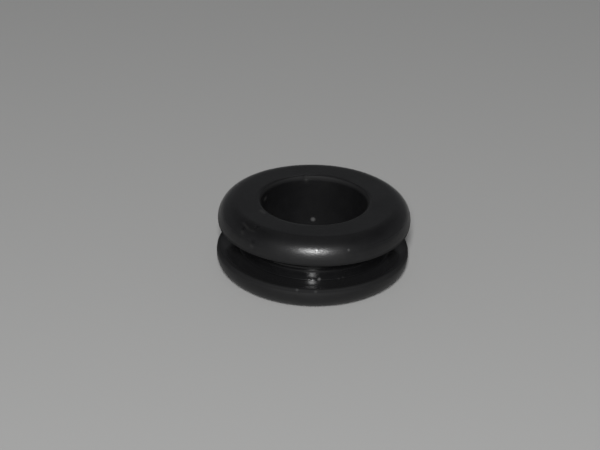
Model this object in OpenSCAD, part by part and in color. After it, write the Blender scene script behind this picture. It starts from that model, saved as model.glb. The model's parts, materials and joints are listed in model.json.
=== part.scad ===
// Rubber grommet: a ring seal moulded in one piece.
// Two flanges with rounded edges stand either side of a square groove, and a plain bore runs through.
// One end of the section is drawn and mirrored for the other, and the whole is revolved about Z.
// Origin: centre of the lower face, +Z along the bore.

/* [Overall] */
// Outside diameter over the flanges
outside_d = 18; // [16:0.1:24]
// Height from face to face
height = 7; // [6:0.1:9]

/* [Bore] */
// Diameter of the bore, which passes a cable or a tube
bore_d = 10; // [4:0.1:13]
// Radius of the rounded rim at each end of the bore
rim_r = 0.3; // [0.05:0.05:0.6]

/* [Panel groove] */
// Diameter at the floor of the groove, which fills the hole in a panel
groove_d = 14; // [11:0.1:17]
// Width of the groove between its two flanks, which grips the edge of a panel
groove_w = 2.4; // [1:0.1:3.4]
// Radius of the fillet in each corner of the groove
groove_fillet_r = 0.1; // [0.05:0.05:0.4]

/* [Flanges] */
// Radius of the rounded outer edge of each flange
edge_r = 1.75; // [1.3:0.05:2.3]

/* [Colour] */
// Colour of the rubber
rubber_colour = "#1c1c1f"; // ["#1c1c1f", "#3a3a3c", "#5b5048"]

/* [Hidden] */
$fn = 128;
outside_r = outside_d / 2;
bore_r = bore_d / 2;
groove_floor_r = groove_d / 2;
// Each flange takes half of what the groove leaves of the height
flange_t = (height - groove_w) / 2;
// A flange thinner than its edge radius takes the largest round that fits it
flange_edge_r = min(edge_r, flange_t);

// What a round of radius r leaves out of a square corner at the origin
module corner_web(r) {
    difference() {
        square(r);
        translate([r, r]) circle(r);
    }
}

// Draws a shape at the lower end of the section and its mirror image at the upper end
module at_both_ends() {
    children();
    translate([0, height]) mirror([0, 1]) children();
}

// Half section of one flange on its outer face: the round runs past the widest point to a sharp lip at the flank
module flange_section() {
    intersection() {
        translate([bore_r, 0]) square([outside_r, flange_t]);
        union() {
            translate([bore_r, 0]) square([outside_r - flange_edge_r - bore_r, flange_t]);
            translate([outside_r - flange_edge_r, flange_edge_r]) circle(flange_edge_r);
        }
    }
}

// Half section of the whole ring: the wall between bore and groove, its flanges, and the rounds of groove and rims
module ring_section() {
    difference() {
        union() {
            translate([bore_r, 0]) square([groove_floor_r - bore_r, height]);
            at_both_ends() flange_section();
            at_both_ends() translate([groove_floor_r, flange_t]) corner_web(groove_fillet_r);
        }
        at_both_ends() translate([bore_r, 0]) corner_web(rim_r);
    }
}

// The grommet: the section in one turn about the axis
module grommet() {
    color(rubber_colour) rotate_extrude() ring_section();
}

grommet();
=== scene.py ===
"""The looks of a moulded rubber grommet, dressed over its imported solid.

One ring of black rubber stands for the solid. It is the solid's own section with rounded lips and the small
faults of a moulding, carried once round the axis as a numpy surface. Lengths are in millimetres and angles in
degrees until a mesh, a lamp or the camera is made.
"""

import json
import math

import bpy
import numpy as np
from mathutils import Matrix, Vector


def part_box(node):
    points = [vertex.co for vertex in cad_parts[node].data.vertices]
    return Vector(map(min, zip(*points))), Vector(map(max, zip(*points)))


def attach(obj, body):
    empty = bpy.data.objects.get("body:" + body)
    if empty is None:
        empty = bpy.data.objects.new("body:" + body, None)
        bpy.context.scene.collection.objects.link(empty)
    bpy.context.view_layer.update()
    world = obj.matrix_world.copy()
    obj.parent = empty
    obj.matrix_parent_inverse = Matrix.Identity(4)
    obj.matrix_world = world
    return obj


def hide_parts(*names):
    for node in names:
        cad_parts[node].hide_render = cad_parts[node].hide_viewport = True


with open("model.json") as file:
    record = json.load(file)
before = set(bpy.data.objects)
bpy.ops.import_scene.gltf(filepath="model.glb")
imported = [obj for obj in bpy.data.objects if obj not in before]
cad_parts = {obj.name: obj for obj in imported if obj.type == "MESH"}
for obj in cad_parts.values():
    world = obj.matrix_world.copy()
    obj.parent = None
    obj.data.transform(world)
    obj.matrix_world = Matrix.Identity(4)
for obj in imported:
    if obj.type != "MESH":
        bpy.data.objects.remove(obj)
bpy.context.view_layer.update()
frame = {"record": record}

MM = 0.001

# Sizes of the solid
MOUNTS = {mount["name"]: mount["dims"] for mount in frame["record"]["mounts"]}
LOWEST, HIGHEST = (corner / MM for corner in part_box("grommet"))
HEIGHT = HIGHEST.z - LOWEST.z
OUTSIDE_R = (HIGHEST.x - LOWEST.x) / 2
BORE_R = MOUNTS["bore"]["r_mm"]
RIM_R = (HEIGHT - MOUNTS["bore"]["length_mm"]) / 2
FLOOR_R = MOUNTS["panel_groove"]["r_mm"]
GROOVE_W = MOUNTS["panel_groove"]["length_mm"]
FLANGE_T = (HEIGHT - GROOVE_W) / 2
EDGE_R = 1.75
# Fillet in the corners of the groove, half as large as the solid's
FILLET_R = 0.05
# How far each side of the lip its round begins, where the solid is sharp
LIP_ROUND = 0.22

# Grid of the ring: points on each stretch of half the section, and points round the axis
POINTS = {"bore": 14, "rim": 7, "face": 8, "edge": 42, "lip": 9, "flank": 10, "fillet": 5, "floor": 16}
AROUND = 432

# Faults of the moulding
# Sideways lean of the upper flange over the lower one, per unit of height
LEAN = 0.03
# How far the core that formed the bore stood off centre
BORE_SHIFT = np.array([-0.10, 0.10])
# How far to the right the floor of the groove stands off centre
GROOVE_SHIFT = 0.12
# Out-of-round of the flanges: its size, the orders of its waves, and seeds for the upper and the lower one
OUT_OF_ROUND = 0.02
ROUND_ORDERS = (2, 5)
ROUND_SEEDS = (11, 12)
# Waviness of the upper face: its size, how much of it reaches the edge, the orders of its waves and a seed
FACE_WAVE = 0.012
FACE_WAVE_AT_EDGE = 0.5
FACE_ORDERS = (2, 6)
FACE_SEED = 41
# Flash left along the two lips: its usual and its greatest stand, and seeds for the upper and the lower one
FLASH = 0.010
FLASH_MOST = 0.05
FLASH_SEEDS = (21, 31)
# Raggedness of the flash, and its tags: where in their waves they begin, and how tall they stand
RAGGED_ORDERS = (9, 70)
RAGGED = 0.5
TAG_ORDERS = (5, 40)
TAG_START = 1.2
TAG_STAND = 2.5
# Waves in the floor of the groove, left by the tool: length, height and where one rises
FLOOR_WAVE_LENGTH = 0.74
FLOOR_WAVE = 0.0075
FLOOR_WAVE_START = 2.87
# Lean of the upper part of the floor: how far it stands out per unit of height, the height from which it
# does, and how softly it begins
FLOOR_LEAN = 0.17
FLOOR_LEAN_START = 3.33
FLOOR_LEAN_SOFT = 0.10
# How far the lips curl into the groove, and the radius from which they do
LIP_CURL = 0.03
CURL_START = 8.1
# A nick in the far rim: direction from the axis, width, height down the bore and depth
NICK_ANGLE = 100.3
NICK_WIDTH = 0.26
NICK_DROP = 0.9
NICK_DEPTH = 0.16

# Masks that the mesh carries to its material
MASKS = ("groove", "flank", "lip", "rim", "bore", "skirt")
# Share of a rim's radius over which its mask grows from the face
RIM_RAMP = 0.3
# How far above its widest point the skirt of a flange begins, as a share of the edge radius
SKIRT_RISE = 0.6
# How much of the mask of a lip is left so many points away from its round
LIP_FADE = {-3: 0.15, -2: 0.4, -1: 0.7, 0: 1.0, 1: 0.7, 2: 0.4, 3: 0.15}

# Colours of the rubber where its mottling is low and high, the two levels of that, and the flanks' colour,
# paler than the rest as painted sheen for the light the flanks catch
BLACK = (0.0042, 0.0042, 0.0046, 1.0)
MOTTLED_BLACK = (0.0052, 0.0052, 0.0056, 1.0)
MOTTLE_LEVELS = (0.35, 0.75)
FLANK_PAINTED_SHEEN = (0.0085, 0.0085, 0.0090, 1.0)
# Sizes of its texture, and the height of its grain with the share of it that the groove lacks
GRAIN_SIZE = 0.14
MOTTLE_SIZE = 1.4
CLOUD_SIZE = 5.0
GRAIN_HEIGHT = 0.022
GRAIN_LOST = 0.97
# Its roughness, what each mask adds to that, and how much the texture varies it
ROUGHNESS = 0.25
ROUGHNESS_ADDED = {"groove": -0.10, "lip": 0.48, "rim": 0.54, "bore": 0.04, "skirt": 0.23}
ROUGHNESS_VARIED = 0.04
# The dull bloom on it: its weight, the share of it that each mask lacks, and how the mottling varies it
BLOOM = 0.13
BLOOM_LOST = {"groove": 0.6, "lip": 1.0, "rim": 1.0, "skirt": 0.6}
BLOOM_LEAST = 0.8
BLOOM_VARIED = 0.4
BLOOM_ROUGHNESS = 0.50
# Refractive indices of the rubber and its bloom
RUBBER_IOR = 1.38
BLOOM_IOR = 2.0

# Pale specks in the bore, and painted glints on the upper flange, at the foot of the groove and at the lower
# lip:
# place, radius and paleness
SPECKS_AND_GLINTS = (
    # Pale specks in the bore
    ((-0.07, 5.08, 2.38), 0.32, 0.070),
    ((-4.58, 2.17, 5.96), 0.27, 0.036),
    ((-4.67, 1.95, 5.96), 0.27, 0.036),
    # Painted glints: pale spots where small sparkles of light fall
    ((3.22, -8.16, 6.13), 0.17, 0.049),
    ((0.67, -6.97, 2.42), 0.20, 0.080),
    ((2.45, -6.63, 2.32), 0.16, 0.015),
    ((2.82, -6.39, 2.40), 0.16, 0.015),
    ((-1.31, -8.83, 2.24), 0.20, 0.028),
    ((0.38, -8.94, 2.16), 0.20, 0.026),
)
SPECK_AND_GLINT_SOFTNESS = 0.8
# Pale scuffs, on the left of the upper flange, on the near rim and in the nick:
# two ends, half width and paleness
SCUFFS = (
    ((-6.45, -4.73, 6.84), (-5.98, -5.60, 6.72), 0.20, 0.013),
    ((-5.90, -5.75, 6.68), (-5.40, -6.18, 6.70), 0.18, 0.010),
    ((-6.52, -5.60, 6.34), (-6.46, -5.76, 6.28), 0.30, 0.012),
    ((-5.61, -6.95, 5.60), (-5.55, -7.03, 5.56), 0.30, 0.012),
    ((-4.86, -2.50, 7.00), (-4.58, -2.95, 7.00), 0.36, 0.018),
    ((-0.92, 5.12, 6.95), (-0.75, 5.04, 6.40), 0.32, 0.006),
)
# A smooth patch on the front of the upper flange: place, radius, and how much roughness and grain it lacks
PATCH_PLACE = (0.33, -8.70, 6.21)
PATCH_RADIUS = 0.20
PATCH_ROUGHNESS_LOST = 0.05
PATCH_GRAIN_LOST = 0.8
# Dull pits on the left of the upper flange: place and radius, and the depth of all of them
PITS = (
    ((-6.32, -5.45, 6.60), 0.36),
    ((-5.13, -5.80, 6.92), 0.34),
    ((-5.49, -6.90, 6.02), 0.34),
)
PIT_DEPTH = 0.03
# Softness of the patch and the pits
PATCH_SOFTNESS = 0.9

# Floor: half its width, its colour and its roughness
FLOOR_HALF = 1500.0
FLOOR_COLOUR = (0.425, 0.425, 0.42, 1.0)
FLOOR_ROUGHNESS = 0.70
# Surround: its colours low and high, and the heights on a unit sphere between which it dims
SURROUND_LOW = (0.136, 0.139, 0.143, 1.0)
SURROUND_HIGH = (0.032, 0.032, 0.033, 1.0)
DIMMING = (0.45, 0.66)

# View of the photograph, in an image of 600 by 450 pixels
IMAGE_W = 600
IMAGE_H = 450
VIEW_ELEVATION = 26.9
VIEW_ROLL = 1.8
VIEW_DISTANCE = 216.0
FOCAL_PIXELS = 2310.0
SENSOR_W = 36.0
CLIP_START = 10.0
# Pixel on which the middle of the upper flange falls
FLANGE_PIXEL = (313.8, 216.7)


def stretch(start, stop, count):
    """Evenly spaced points from start towards stop, which the next stretch begins with."""
    share = np.linspace(0.0, 1.0, count, endpoint=False)[:, None]
    return (1.0 - share) * np.array(start) + share * np.array(stop)


def arc(centre, radius, start, stop, count):
    """Points on a circle about centre, from one angle towards another."""
    angle = np.radians(np.linspace(start, stop, count, endpoint=False))
    return np.array(centre) + radius * np.column_stack([np.cos(angle), np.sin(angle)])


def bend(start, corner, stop, count):
    """Points on the parabola that leaves start towards corner and arrives at stop from it."""
    share = np.linspace(0.0, 1.0, count, endpoint=False)[:, None]
    there = (1.0 - share) ** 2 * start + 2.0 * share * (1.0 - share) * corner
    return there + share ** 2 * stop


def half_section():
    """Lower half of the section as stretches of points (radius, height), in order, by name.

    It runs from the middle of the bore down to the rim, out along the lower face, up round the flange to its
    lip, in along the flank of the groove and up its floor to mid height.
    """
    edge_centre = np.array([OUTSIDE_R - EDGE_R, EDGE_R])
    past_widest = math.degrees(math.asin((FLANGE_T - EDGE_R) / EDGE_R))
    before_lip = past_widest - math.degrees(LIP_ROUND / EDGE_R)
    lip = edge_centre + [EDGE_R * math.cos(math.radians(past_widest)), FLANGE_T - EDGE_R]
    lip_start = arc(edge_centre, EDGE_R, before_lip, past_widest, 1)[0]
    lip_stop = lip - [LIP_ROUND, 0.0]
    rim_centre = [BORE_R + RIM_R, RIM_R]
    fillet_centre = [FLOOR_R + FILLET_R, FLANGE_T + FILLET_R]
    return {
        "bore": stretch([BORE_R, HEIGHT / 2], [BORE_R, RIM_R], POINTS["bore"]),
        "rim": arc(rim_centre, RIM_R, 180.0, 270.0, POINTS["rim"]),
        "face": stretch([BORE_R + RIM_R, 0.0], [OUTSIDE_R - EDGE_R, 0.0], POINTS["face"]),
        "edge": arc(edge_centre, EDGE_R, -90.0, before_lip, POINTS["edge"]),
        "lip": bend(lip_start, lip, lip_stop, POINTS["lip"]),
        "flank": stretch(lip_stop, [FLOOR_R + FILLET_R, FLANGE_T], POINTS["flank"]),
        "fillet": arc(fillet_centre, FILLET_R, 270.0, 180.0, POINTS["fillet"]),
        "floor": stretch([FLOOR_R, FLANGE_T + FILLET_R], [FLOOR_R, HEIGHT / 2], POINTS["floor"]),
    }


def whole_section():
    """The closed section and one mask for each named stretch of it.

    The upper half is the lower one turned over about mid height and walked backwards, so the two share the
    points at mid height on the floor and in the bore. The mask of the rims grows from the face to the bore.
    One more mask, the skirt, grows down the round of each flange from above its widest point.
    """
    half = half_section()
    floor_middle = [[FLOOR_R, HEIGHT / 2]]
    lower = np.vstack([*half.values(), floor_middle])
    upper = lower[-2:0:-1] * [1.0, -1.0] + [0.0, HEIGHT]
    section = np.vstack([lower, upper])
    names = np.concatenate([[name] * len(points) for name, points in half.items()] + [["floor"]])
    names = np.concatenate([names, names[-2:0:-1]])
    masks = {name: (names == name).astype(float) for name in half}

    height = section[:, 1]
    from_face = np.minimum(height, HEIGHT - height)
    masks["rim"] *= np.clip(from_face / (RIM_RAMP * RIM_R), 0.0, 1.0)
    widest = np.where(height > HEIGHT / 2, HEIGHT - EDGE_R, EDGE_R)
    down = np.clip(1.0 - (height - widest) / EDGE_R / SKIRT_RISE, 0.0, 1.0)
    masks["skirt"] = (masks["edge"] + masks["lip"]) * down ** 2 * (3.0 - 2.0 * down)
    return section, masks


def waves(angle, orders, seed):
    """Sum of cosines round the ring, of every order from the first to the last given, with random phases.

    The heights are random too, over the square root of the order, and the sum is scaled to a spread of one.
    """
    rng = np.random.default_rng(seed)
    first, last = orders
    order = np.arange(first, last + 1)
    phases = rng.uniform(0.0, 2.0 * math.pi, order.size)
    heights = rng.uniform(0.5, 1.0, order.size) / np.sqrt(order)
    total = (heights * np.cos(order * angle[:, None] + phases)).sum(axis=1)
    return total / total.std()


def flash(angle, seed):
    """Stand of the flash round one lip: a low ragged ridge with a few taller tags."""
    ragged = 1.0 + RAGGED * waves(angle, RAGGED_ORDERS, seed)
    tags = np.clip(waves(angle, TAG_ORDERS, seed + 1) - TAG_START, 0.0, None)
    return np.clip(FLASH * (ragged + TAG_STAND * tags), 0.0, FLASH_MOST)


def hump(mask):
    """A half sine wave along each unbroken run of a mask: 0 at its ends, 1 in its middle, 0 elsewhere."""
    share = np.zeros_like(mask)
    inside = np.flatnonzero(mask)
    runs = np.split(inside, np.flatnonzero(np.diff(inside) > 1) + 1)
    for run in runs:
        share[run] = np.linspace(0.0, 1.0, run.size)
    return np.sin(np.pi * share)


def nick(angle, height, masks):
    """How far the nick opens the bore.

    It is a bell curve across the nick, times the square of the way up to the rim.
    """
    across = BORE_R * np.radians((np.degrees(angle) - NICK_ANGLE + 180.0) % 360.0 - 180.0)
    climb = np.clip((height - HEIGHT + NICK_DROP) / NICK_DROP, 0.0, 1.0)
    inside = np.sign(masks["bore"] + masks["rim"])[:, None]
    return NICK_DEPTH * inside * climb ** 2 * np.exp(-(across / NICK_WIDTH) ** 2)


def floor_stand(height):
    """How far the floor of the groove stands out at each height.

    A sine wave runs up its lower part. It fades where the floor begins to lean outwards, along a hyperbola.
    """
    phase = 2.0 * math.pi * (height - FLOOR_WAVE_START) / FLOOR_WAVE_LENGTH
    rise = height - FLOOR_LEAN_START
    bent = np.hypot(rise, FLOOR_LEAN_SOFT)
    upright = (1.0 - rise / bent) / 2
    return FLOOR_WAVE * upright * np.sin(phase) + FLOOR_LEAN * (bent + rise) / 2


def ring_surface():
    """The ring as arrays of x, y and z, one row for each point of the section and one column for each angle.

    The section is carried round the axis. Its radius gains a slow out-of-round, the ragged flash at the lips,
    the stand of the groove's floor and a nick that widens the bore towards the upper rim. The upper face
    gains a slow wave, and the lips curl into the groove by the square of the way out. The bore is shifted
    sideways by a share that falls to nothing at the radius of the groove's floor, and the groove by one that
    falls to nothing at the outside. Then the whole leans a little with height.
    """
    section, masks = whole_section()
    angle = np.linspace(0.0, 2.0 * math.pi, AROUND, endpoint=False)
    radius, height = section[:, :1], section[:, 1:]
    upper = height > HEIGHT / 2
    outer = np.clip((radius - BORE_R) / (OUTSIDE_R - BORE_R), 0.0, 1.0)

    swell = np.where(upper, *(waves(angle, ROUND_ORDERS, seed) for seed in ROUND_SEEDS))
    ridge = np.where(upper, *(flash(angle, seed) for seed in FLASH_SEEDS))
    lip_weight = hump(masks["lip"])[:, None]
    floor_weight = (masks["floor"] + masks["fillet"])[:, None]
    stand = lip_weight * ridge + floor_weight * floor_stand(height)
    r = radius + OUT_OF_ROUND * outer * swell + stand + nick(angle, height, masks)

    face = (masks["face"] + masks["edge"] * FACE_WAVE_AT_EDGE)[:, None]
    face_wave = FACE_WAVE * face * upper * waves(angle, FACE_ORDERS, FACE_SEED)
    curl = np.clip((radius - CURL_START) / (OUTSIDE_R - CURL_START), 0.0, 1.0) ** 2
    into_groove = np.where(upper, -1.0, 1.0) * (masks["flank"] + masks["lip"])[:, None]
    z = height + face_wave + LIP_CURL * curl * into_groove

    core = np.clip((FLOOR_R - radius) / (FLOOR_R - BORE_R), 0.0, 1.0)
    in_groove = (masks["floor"] + masks["fillet"] + masks["flank"] + masks["lip"])[:, None]
    deep = in_groove * np.clip((OUTSIDE_R - radius) / (OUTSIDE_R - FLOOR_R), 0.0, 1.0)
    x = r * np.cos(angle) + core * BORE_SHIFT[0] + deep * GROOVE_SHIFT + LEAN * (z - HEIGHT / 2)
    y = r * np.sin(angle) + core * BORE_SHIFT[1]
    return np.stack([x, y, z], axis=-1), masks


def ring_mesh(name):
    """Mesh of the ring: quads between neighbouring points, closed both ways, with its masks as attributes."""
    points, masks = ring_surface()
    rows, columns = points.shape[:2]
    index = np.arange(rows * columns).reshape(rows, columns)
    right = np.roll(index, -1, axis=1)
    quads = np.stack([index, right, np.roll(right, -1, axis=0), np.roll(index, -1, axis=0)], axis=-1)
    mesh = bpy.data.meshes.new(name)
    mesh.from_pydata((points * MM).reshape(-1, 3), [], quads.reshape(-1, 4))
    mesh.shade_smooth()

    masks["groove"] = masks["flank"] + masks["fillet"] + masks["floor"]
    # The finish of a lip fades over the points next to its round on either side
    fading = [share * np.roll(masks["lip"], step) for step, share in LIP_FADE.items()]
    masks["lip"] = np.maximum.reduce(fading)
    for mask_name in MASKS:
        attribute = mesh.attributes.new(mask_name, "FLOAT", "POINT")
        attribute.data.foreach_set("value", np.repeat(masks[mask_name], columns))

    # Map for baking: once round the ring from left to right, once round the section from bottom to top
    row, column = np.divmod(quads.reshape(-1), columns)
    own_row, own_column = (np.repeat(part.reshape(-1), 4) for part in np.divmod(index, columns))
    u = np.where(column < own_column, column + columns, column) / columns
    v = np.where(row < own_row, row + rows, row) / rows
    bake_map = mesh.uv_layers.new(name="OFBake")
    bake_map.data.foreach_set("uv", np.column_stack([u, v]).reshape(-1))
    return mesh


class Wire:
    """An output socket in one node tree, with arithmetic that adds Math nodes."""

    def __init__(self, tree, socket=None):
        self.tree = tree
        self.socket = socket

    def node(self, kind, settings=None, sockets=None, output=0):
        """A new node of that type: its settings, then the values or links of its sockets."""
        made = self.tree.nodes.new(kind)
        for name, value in (settings or {}).items():
            setattr(made, name, value)
        for key, value in (sockets or {}).items():
            if isinstance(value, Wire):
                self.tree.links.new(value.socket, made.inputs[key])
            else:
                made.inputs[key].default_value = value
        return Wire(self.tree, made.outputs[output] if made.outputs else None)

    def maths(self, operation, *values):
        """A Math node on the given values or wires."""
        return self.node("ShaderNodeMath", {"operation": operation}, dict(enumerate(values)))

    def __add__(self, other):
        return self.maths("ADD", self, other)

    __radd__ = __add__

    def __sub__(self, other):
        return self.maths("SUBTRACT", self, other)

    def __rsub__(self, other):
        return self.maths("SUBTRACT", other, self)

    def __mul__(self, other):
        return self.maths("MULTIPLY", self, other)

    __rmul__ = __mul__

    def between(self, low, high):
        """A smooth step: 0 where the value is at low, 1 where it is at high."""
        limits = {"Value": self, "From Min": low, "From Max": high}
        return self.node("ShaderNodeMapRange", {"interpolation_type": "SMOOTHSTEP"}, limits)

    def mixed(self, first, second):
        """The colour that goes from first to second as this value goes from 0 to 1."""
        # The node's colour sockets share their names with its others, so they go by number
        sockets = {"Factor": self, 6: first, 7: second}
        return self.node("ShaderNodeMix", {"data_type": "RGBA"}, sockets, output=2)


def grey(paleness):
    """A grey of that paleness as a colour."""
    return (paleness, paleness, paleness, 1.0)


def black_rubber():
    """Moulded black rubber: matte and finely grained outside, smoother in the groove, with its marks of use,
    pale specks, painted glints and flanks painted paler as sheen.

    A dull bloom lies over it as a coat.
    """
    material = bpy.data.materials.new("black_rubber")
    material.use_nodes = True
    tree = material.node_tree
    tree.nodes.clear()
    wire = Wire(tree)
    place = wire.node("ShaderNodeTexCoord", output="Object")

    def vector(operation, first, second, output="Vector"):
        """A Vector Math node on two places."""
        settings = {"operation": operation}
        return wire.node("ShaderNodeVectorMath", settings, {0: first, 1: second}, output)

    def noise(size, detail=2.0, roughness=0.5):
        """Noise with features of about that size in millimetres."""
        sockets = {"Vector": place, "Scale": 1.0 / (size * MM), "Detail": detail, "Roughness": roughness}
        return wire.node("ShaderNodeTexNoise", None, sockets)

    def spot(centre, radius, soft):
        """1 near a place, falling to 0 at a radius from it over a soft share of that."""
        away = vector("DISTANCE", place, [length * MM for length in centre], "Value")
        return away.between(radius * MM, radius * (1.0 - soft) * MM)

    def stroke(start, stop, half_width):
        """1 on the line between two places, falling to 0 at half its width.

        The way along the line is the dot product with its direction, held between its ends.
        """
        first, last = Vector(start) * MM, Vector(stop) * MM
        line = last - first
        from_start = vector("SUBTRACT", place, first)
        along = vector("DOT_PRODUCT", from_start, line / line.length_squared, "Value")
        held = along.maths("MINIMUM", along.maths("MAXIMUM", along, 0.0), 1.0)
        foot = wire.node("ShaderNodeVectorMath", {"operation": "SCALE"}, {0: line, "Scale": held})
        return vector("DISTANCE", from_start, foot, "Value").between(half_width * MM, 0.0)

    mask = {name: wire.node("ShaderNodeAttribute", {"attribute_name": name}, output="Fac") for name in MASKS}
    grain = noise(GRAIN_SIZE, roughness=0.55)
    mottle = noise(MOTTLE_SIZE, detail=3.0)
    cloud = noise(CLOUD_SIZE)

    colour = mottle.between(*MOTTLE_LEVELS).mixed(BLACK, MOTTLED_BLACK)
    # The flanks take a paler black: painted sheen for the light they catch
    colour = mask["flank"].mixed(colour, FLANK_PAINTED_SHEEN)
    for start, stop, half_width, paleness in SCUFFS:
        colour = stroke(start, stop, half_width).mixed(colour, grey(paleness))
    # Pale specks in the bore, and painted glints where sparkles of light fall
    for centre, radius, paleness in SPECKS_AND_GLINTS:
        colour = spot(centre, radius, SPECK_AND_GLINT_SOFTNESS).mixed(colour, grey(paleness))

    roughness = ROUGHNESS + ROUGHNESS_VARIED * (mottle - 0.5) + ROUGHNESS_VARIED * (cloud - 0.5)
    for name, added in ROUGHNESS_ADDED.items():
        roughness = roughness + added * mask[name]
    bloom = BLOOM * (BLOOM_LEAST + BLOOM_VARIED * mottle)
    for name, lost in BLOOM_LOST.items():
        bloom = bloom * (1 - lost * mask[name])
    height = GRAIN_HEIGHT * grain * (1 - GRAIN_LOST * mask["groove"])

    patch = spot(PATCH_PLACE, PATCH_RADIUS, PATCH_SOFTNESS)
    roughness = roughness - PATCH_ROUGHNESS_LOST * patch
    height = height * (1 - PATCH_GRAIN_LOST * patch)
    for centre, radius in PITS:
        pit = spot(centre, radius, PATCH_SOFTNESS)
        bloom = bloom * (1 - pit)
        height = height - PIT_DEPTH * pit
    relief = wire.node("ShaderNodeBump", None, {"Strength": 1.0, "Distance": MM, "Height": height})

    sockets = {"Base Color": colour, "Roughness": roughness, "Normal": relief, "IOR": RUBBER_IOR}
    sockets |= {"Coat Weight": bloom, "Coat Roughness": BLOOM_ROUGHNESS, "Coat IOR": BLOOM_IOR}
    shader = wire.node("ShaderNodeBsdfPrincipled", None, sockets)
    wire.node("ShaderNodeOutputMaterial", None, {"Surface": shader})
    return material


def pale_floor():
    """A plain pale floor, wide enough to fill every view."""
    half = FLOOR_HALF * MM
    corners = [(-half, -half, 0.0), (half, -half, 0.0), (half, half, 0.0), (-half, half, 0.0)]
    mesh = bpy.data.meshes.new("floor")
    mesh.from_pydata(corners, [], [(0, 1, 2, 3)])
    material = bpy.data.materials.new("pale_floor")
    material.use_nodes = True
    shader = material.node_tree.nodes["Principled BSDF"]
    shader.inputs["Base Color"].default_value = FLOOR_COLOUR
    shader.inputs["Roughness"].default_value = FLOOR_ROUGHNESS
    mesh.materials.append(material)
    floor = bpy.data.objects.new("floor", mesh)
    bpy.context.scene.collection.objects.link(floor)


def soft_light(name, azimuth, elevation, distance, width, depth, watts):
    """A rectangular lamp that faces the middle of the object. Azimuth 0 is the side of the camera."""
    lamp = bpy.data.lights.new(name, "AREA")
    lamp.shape = "RECTANGLE"
    lamp.size = width * MM
    lamp.size_y = depth * MM
    lamp.energy = watts
    around, up = math.radians(azimuth), math.radians(elevation)
    direction = Vector((math.sin(around) * math.cos(up), -math.cos(around) * math.cos(up), math.sin(up)))
    holder = bpy.data.objects.new(name, lamp)
    holder.location = Vector((0.0, 0.0, HEIGHT / 2 * MM)) + direction * distance * MM
    holder.rotation_euler = direction.to_track_quat("Z", "Y").to_euler()
    bpy.context.scene.collection.objects.link(holder)


def studio():
    """Plain soft light: a surround that is pale low down and dim above, a key lamp and a weak overhead one.

    The key stands on the side of the camera.
    """
    world = bpy.data.worlds.new("surround")
    world.use_nodes = True
    tree = world.node_tree
    tree.nodes.clear()
    wire = Wire(tree)
    direction = wire.node("ShaderNodeTexCoord", output="Generated")
    rise = wire.node("ShaderNodeSeparateXYZ", None, {"Vector": direction}, output="Z")
    colour = rise.between(*DIMMING).mixed(SURROUND_LOW, SURROUND_HIGH)
    background = wire.node("ShaderNodeBackground", None, {"Color": colour, "Strength": 1.0})
    wire.node("ShaderNodeOutputWorld", None, {"Surface": background})
    bpy.context.scene.world = world
    soft_light("key", azimuth=-1.2, elevation=34.0, distance=450.0, width=48.0, depth=120.0, watts=2.4)
    soft_light("overhead", azimuth=0.0, elevation=93.0, distance=450.0, width=240.0, depth=800.0, watts=0.08)
    bpy.context.scene.view_settings.view_transform = "Standard"


def camera():
    """A camera that sees the upper flange's middle on its pixel, at the photograph's angle and roll."""
    up_angle, roll = math.radians(VIEW_ELEVATION), math.radians(VIEW_ROLL)
    back = Vector((0.0, -math.cos(up_angle), math.sin(up_angle)))
    level = Vector((1.0, 0.0, 0.0))
    upright = back.cross(level)
    right = level * math.cos(roll) + upright * math.sin(roll)
    up = back.cross(right)
    middle = Vector((0.0, 0.0, HEIGHT - EDGE_R))
    across = (FLANGE_PIXEL[0] - IMAGE_W / 2) / FOCAL_PIXELS
    above = (IMAGE_H / 2 - FLANGE_PIXEL[1]) / FOCAL_PIXELS
    place = middle + back * VIEW_DISTANCE
    aim = middle - (right * across + up * above) * VIEW_DISTANCE
    back = (place - aim).normalized()
    right = (right - back * right.dot(back)).normalized()
    up = back.cross(right)
    data = bpy.data.cameras.new("camera")
    data.sensor_width = SENSOR_W
    data.lens = SENSOR_W * FOCAL_PIXELS / IMAGE_W
    data.clip_start = CLIP_START * MM
    holder = bpy.data.objects.new("camera", data)
    holder.matrix_world = Matrix.Translation(place * MM) @ Matrix((right, up, back)).transposed().to_4x4()
    bpy.context.scene.collection.objects.link(holder)
    bpy.context.scene.camera = holder


def grommet_ring():
    """The finished ring, in place of the solid."""
    mesh = ring_mesh("grommet_ring")
    mesh.materials.append(black_rubber())
    ring = bpy.data.objects.new("grommet_ring", mesh)
    bpy.context.scene.collection.objects.link(ring)
    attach(ring, "root")
    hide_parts("grommet")


grommet_ring()
pale_floor()
studio()
camera()
